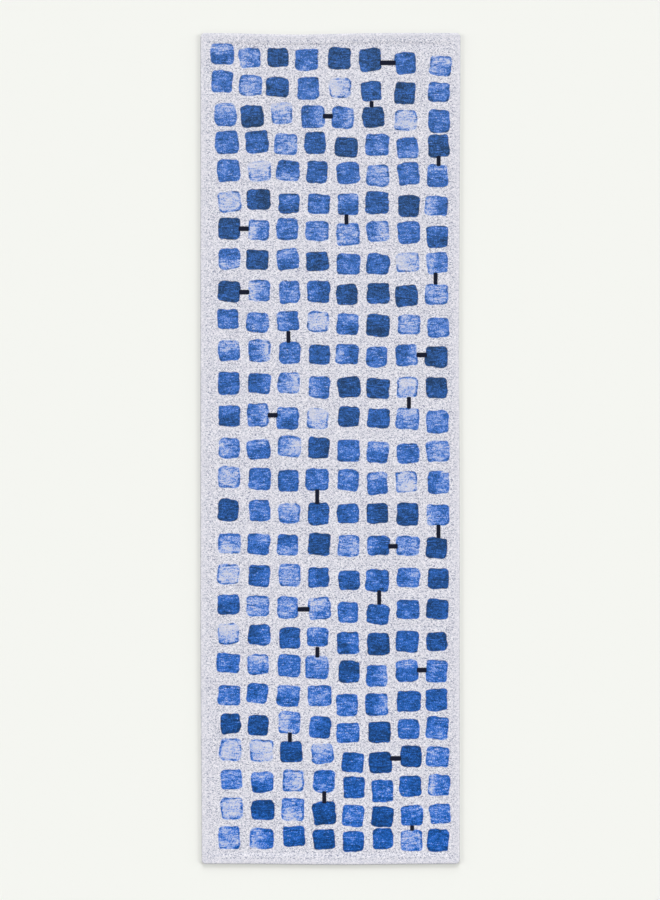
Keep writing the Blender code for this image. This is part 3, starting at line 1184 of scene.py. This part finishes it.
def dot_places():
    """Rows of dots, every second row shifted by half a pitch, leaving room for the label."""
    low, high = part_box("care_label")
    clear = DOT_RADIUS + 2 * MM
    step = DOT_PITCH * math.sqrt(0.75)
    wide = HALF_WIDTH - FLAT_INSET - DOT_RADIUS
    long = HALF_LENGTH - FLAT_INSET - DOT_RADIUS
    found = []
    for row in range(-int(long / step), int(long / step) + 1):
        y = row * step
        start = DOT_PITCH / 2 if row % 2 else 0.0
        for column in range(-int(wide / DOT_PITCH) - 1, int(wide / DOT_PITCH) + 1):
            x = start + column * DOT_PITCH
            in_label = low[0] - clear < x < high[0] + clear and low[1] - clear < y < high[1] + clear
            if abs(x) <= wide and not in_label:
                found.append((x, y, GRIP_HEIGHT))
    return found


def grip_dots(material):
    unit = dot_unit()
    item = new_object("grip_dots", dot_places(), [])
    run_tree(item, units_on_places_tree(), {
        "Unit": unit, "Size By Chance": 0.12, "Seed": 5, "Material": material,
    })
    bpy.data.objects.remove(unit)
    placed(item)


def stitch_unit():
    """One visible stitch: a short length of thread that dives into the cloth at both ends."""
    half = STITCH_PITCH * 0.46
    rings = []
    for step in range(-3, 4):
        share = step / 3
        fat = (1 - share * share) ** 0.35
        wide = max(fat, 0.12) * STRAND_WIDTH * 0.5
        thick = max(fat, 0.12) * STRAND_THICK * 0.5
        sunk = (1 - fat) * STRAND_THICK * 0.5
        rings.append([(share * half, cos * wide, sin * thick - sunk) for cos, sin in circle(6)])
    unit = skin("stitch_unit", rings)
    shade_smooth(unit)
    return unit


def node_run(node, height):
    """The line down the middle of a CAD strand, along its longer side, at a height."""
    low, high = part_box(node)
    x, y = (low[0] + high[0]) / 2, (low[1] + high[1]) / 2
    if high[1] - low[1] > high[0] - low[0]:
        return (x, low[1], height), (x, high[1], height)
    return (low[0], y, height), (high[0], y, height)


def stitched(name, node, ends, unit, spacing, thread, seed):
    """Copies of a unit along a run. thread is (its tree, its material, its slot, which is not used)."""
    tree, material, slot = thread
    item = new_object(name, ends, [], [(0, 1)])
    run_tree(item, tree, {
        "Unit": unit, "Spacing": spacing, "Turn By Chance": 0.05, "Size By Chance": 0.1,
        "Seed": seed, "Material": material,
    })
    bpy.data.objects.remove(unit)
    placed(item, node)


def stitch_under():
    """A stitch seen from below."""
    unit = stitch_unit()
    unit.data.transform(Matrix.Rotation(math.pi, 4, "X"))
    return unit


def seams(thread):
    """On each side, the needle thread's stitches on the face and the bobbin thread's below."""
    top = float(top_height(SEAM_INSET)) + STRAND_THICK * 0.25
    kinds = (("needle", top, stitch_unit, 0), ("bobbin", STRAND_THICK * 0.55, stitch_under, 4))
    for seed, side in enumerate(("left", "right", "head", "foot")):
        for kind, height, unit, more in kinds:
            node = f"{kind}_thread_{side}"
            stitched(f"{kind}_stitches_{side}", node, node_run(node, height), unit(), STITCH_PITCH,
                     thread, seed + more)


def corner_stitches(thread):
    z = STRAND_THICK * 0.45
    for seed, corner in enumerate(("head_left", "head_right", "foot_left", "foot_right")):
        node = f"corner_stitch_{corner}"
        low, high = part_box(node)
        x0, x1 = (low[0], high[0]) if "right" in corner else (high[0], low[0])
        y0, y1 = (low[1], high[1]) if "head" in corner else (high[1], low[1])
        stitched(f"corner_stitches_{corner}", node, ((x0, y0, z), (x1, y1, z)), stitch_under(),
                 STITCH_PITCH * 0.7, thread, seed + 20)


def overlock_unit(sign):
    """One overlock loop: from the raw edge across the binding and back, wrapping the edge."""
    pitch, wide, radius = OVERLOCK_PITCH, OVERLOCK_WIDTH * 0.9, 0.2 * MM
    path = [
        (0, 0.25 * MM, CLOTH_THICK * 0.75),
        (0, 0.5 * MM, CLOTH_THICK * 0.35),
        (0.05 * pitch, 0.2 * MM, radius * 1.1),
        (0.25 * pitch, -wide * 0.5, radius * 1.05),
        (0.48 * pitch, -wide, radius * 1.3),
        (0.56 * pitch, -wide, radius * 1.3),
        (0.78 * pitch, -wide * 0.5, radius * 1.9),
        (0.98 * pitch, 0.2 * MM, radius * 1.5),
        (pitch, 0.5 * MM, CLOTH_THICK * 0.35),
        (pitch, 0.25 * MM, CLOTH_THICK * 0.75),
    ]
    path = [(x, y * sign, z) for x, y, z in path]
    return tube("overlock_unit", path, radius, 5)


def overlocks(thread):
    """Rows of loops along each hem's raw edge, which lies towards the rug's middle."""
    for seed, side in enumerate(("left", "right", "head", "foot")):
        node = f"overlock_{side}"
        (x0, y0, _), (x1, y1, _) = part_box(node)
        ends = {
            "left": ((x1, y0, 0.0), (x1, y1, 0.0)),
            "right": ((x0, y1, 0.0), (x0, y0, 0.0)),
            "head": ((x1, y0, 0.0), (x0, y0, 0.0)),
            "foot": ((x0, y1, 0.0), (x1, y1, 0.0)),
        }[side]
        stitched(f"overlock_loops_{side}", node, ends, overlock_unit(inward_sign(ends)),
                 OVERLOCK_PITCH, thread, seed + 40)


def inward_sign(ends):
    """1 if the rug's middle is to the left of a run, or -1 if it is to its right. A unit's X
    follows the run, so its +Y is to the run's left."""
    (x0, y0, _), (x1, y1, _) = ends
    left = Vector((-(y1 - y0), x1 - x0))
    return 1 if left.dot(Vector((-x0 - x1, -y0 - y1))) > 0 else -1


def care_label(material):
    """A blank tape label with a slight wave, thin and flat under the felt."""
    low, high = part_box("care_label")
    steps_x, steps_y = 12, 20

    def point(i, j, height):
        x = low[0] + (high[0] - low[0]) * i / steps_x
        y = low[1] + (high[1] - low[1]) * j / steps_y
        wave = LABEL_WAVE * math.sin(5.1 * i / steps_x + 2.3 * j / steps_y)
        return x, y, height + wave + LABEL_CLEAR

    rings = []
    for j in range(steps_y + 1):
        upper = [point(i, j, high[2]) for i in range(steps_x + 1)]
        lower = [point(i, j, low[2]) for i in range(steps_x + 1)]
        rings.append(upper + lower[::-1])
    item = skin("blank_label", rings)
    shade_smooth(item)
    placed(item, "care_label", material)


def label_stitches(thread):
    """Short overcast stitches over the label's two ends."""
    path = (
        (-0.5 * MM, -1.4 * MM, 0.42 * MM), (-0.3 * MM, -0.8 * MM, 0.22 * MM), (0, 0, WHIP_RADIUS),
        (0.3 * MM, 0.8 * MM, 0.22 * MM), (0.5 * MM, 1.4 * MM, 0.5 * MM),
    )
    for seed, end in enumerate(("foot", "head")):
        node = f"label_thread_{end}"
        unit = tube("whip_unit", path, WHIP_RADIUS, 6)
        stitched(f"label_stitches_{end}", node, node_run(node, 0.0), unit, WHIP_PITCH, thread, seed + 60)


# ---------------------------------------------------------------- floor, light and camera

VIEW_HEIGHT = 2.644        # metres of floor from the top of the frame to its bottom
LENS = 85.0
SENSOR = 36.0
CAMERA_OFF = (-0.0003, -0.0037)
FLOOR_BELOW = 0.25 * MM


def floor():
    item = new_object("floor", [(-9, -9, 0), (9, -9, 0), (9, 9, 0), (-9, 9, 0)], [(0, 1, 2, 3)])
    item.data.transform(Matrix.Translation((0, 0, -FLOOR_BELOW)))
    material = bpy.data.materials.new("pale_floor")
    material.use_nodes = True
    shader = material.node_tree.nodes["Principled BSDF"]
    shader.inputs["Base Color"].default_value = colour(245, 246, 241)
    shader.inputs["Roughness"].default_value = 0.9
    shader.inputs["Specular IOR Level"].default_value = 0.0
    item.data.materials.append(material)


# Share of the light that falls on the floor from each soft lamp: (share, direction it comes
# from, degrees above the floor, width in degrees).
LAMPS = (
    ("head_lamp", 0.27, (0.05, 1.0), 17, 26),
    ("right_lamp", 0.21, (1.0, 0.1), 18, 28),
    ("left_lamp", 0.17, (-1.0, 0.1), 18, 28),
    ("foot_lamp", 0.09, (0.0, -1.0), 24, 30),
)


def lights():
    world = bpy.data.worlds.new("soft_room")
    bpy.context.scene.world = world
    world.use_nodes = True
    share = 1.0 - sum(lamp[1] for lamp in LAMPS)
    world.node_tree.nodes["Background"].inputs["Color"].default_value = (1, 1, 1, 1)
    world.node_tree.nodes["Background"].inputs["Strength"].default_value = share
    for name, part, (dx, dy), height, width in LAMPS:
        lamp = bpy.data.lights.new(name, "SUN")
        lamp.angle = math.radians(width)
        lamp.energy = part * math.pi / math.sin(math.radians(height))
        item = bpy.data.objects.new(name, lamp)
        flat = Vector((dx, dy, 0)).normalized() * math.cos(math.radians(height))
        towards = Vector((flat.x, flat.y, math.sin(math.radians(height))))
        item.rotation_euler = towards.to_track_quat("Z", "Y").to_euler()
        bpy.context.scene.collection.objects.link(item)


def camera():
    """Straight above the rug, far enough off that its edges are seen square on."""
    data = bpy.data.cameras.new("camera")
    data.lens = LENS
    data.sensor_width = SENSOR
    data.sensor_fit = "AUTO"
    data.clip_end = 100
    item = bpy.data.objects.new("camera", data)
    distance = VIEW_HEIGHT / 2 * LENS / (SENSOR / 2)
    item.location = (CAMERA_OFF[0], CAMERA_OFF[1], distance + CLOTH_TOP)
    bpy.context.scene.collection.objects.link(item)
    bpy.context.scene.camera = item


def main():
    camera()
    floor()
    lights()
    bpy.context.scene.view_settings.view_transform = "Standard"
    groups = shader_groups()
    run = row_of_units_tree()
    hem = thread_finish("hem_thread", colour(192, 194, 207), colour(238, 238, 245), groups, 0.7)
    binding = thread_finish("overlock_thread", colour(160, 162, 178), colour(216, 216, 226), groups, 0.8)
    grip_dots(grip_finish())
    felt_backing(felt_finish(groups))
    face_cloth(face_yarn_finish(groups))
    hem_thread = (run, hem, "hem_thread")
    seams(hem_thread)
    corner_stitches(hem_thread)
    overlocks((run, binding, "overlock_thread"))
    care_label(label_finish(groups))
    label_stitches(hem_thread)


main()
